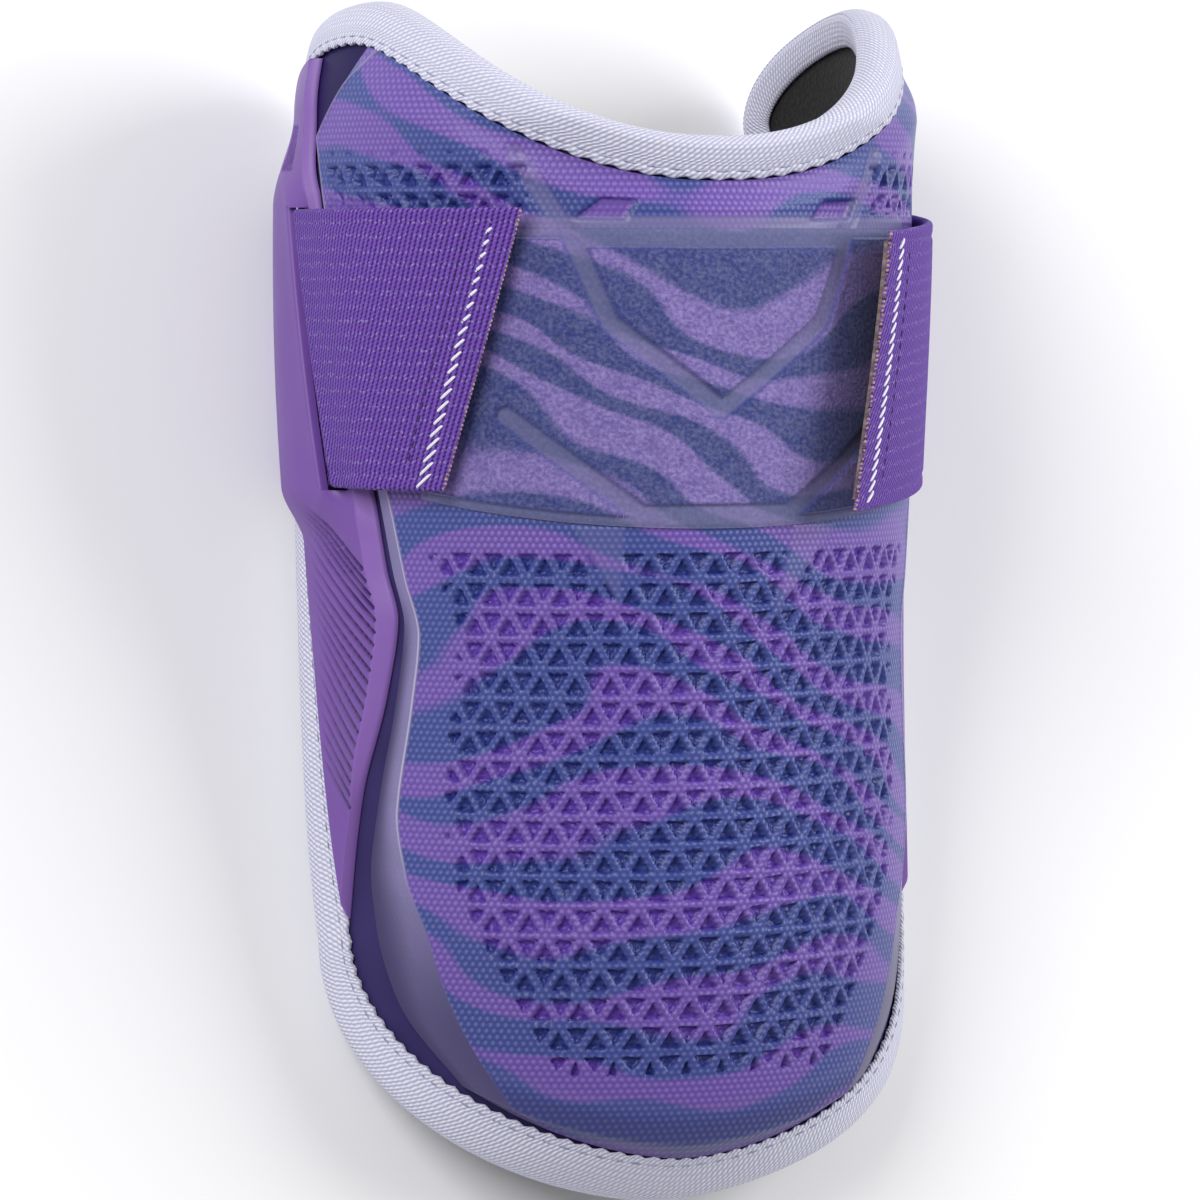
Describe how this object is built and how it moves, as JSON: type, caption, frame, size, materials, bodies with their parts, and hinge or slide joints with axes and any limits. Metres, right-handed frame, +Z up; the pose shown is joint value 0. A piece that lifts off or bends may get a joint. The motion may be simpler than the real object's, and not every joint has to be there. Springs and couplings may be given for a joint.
{
  "type": "elbow guard",
  "caption": "Padded half-tube elbow guard for batting: moulded lattice front plate, side panels with strap slots, bound edge and an elastic strap closed by hook tabs on a loop field.",
  "frame": {"origin": "middle of the bounding box on the floor that the guard lies on", "axes": "+Y along the arm toward the eared end, +Z up out of the front plate, +X to the right when the plate is seen from outside with the eared end up"},
  "size_m": [0.1218, 0.2183, 0.0884],
  "materials": {
    "lining_fabric": "brushed black lining over foam",
    "dark_shell": "satin dark violet moulded sheet",
    "printed_plate": "blue and purple wavy print on a woven face, moulded over",
    "loop_fabric": "brushed loop",
    "side_panel": "satin purple moulded panel with fine grooves",
    "binding_tape": "pale twill tape",
    "strap_webbing": "purple ribbed elastic webbing",
    "hook_tape": "hook tape"
  },
  "bodies": {
    "root": {"pad_lining": "lining_fabric", "base_shell": "dark_shell", "front_plate": "printed_plate", "loop_panel": "loop_fabric", "side_panel_left": "side_panel", "side_panel_right": "side_panel", "edge_binding": "binding_tape", "strap": "strap_webbing", "hook_tab_left": "hook_tape", "hook_tab_right": "hook_tape"}
  },
  "joints": []
}
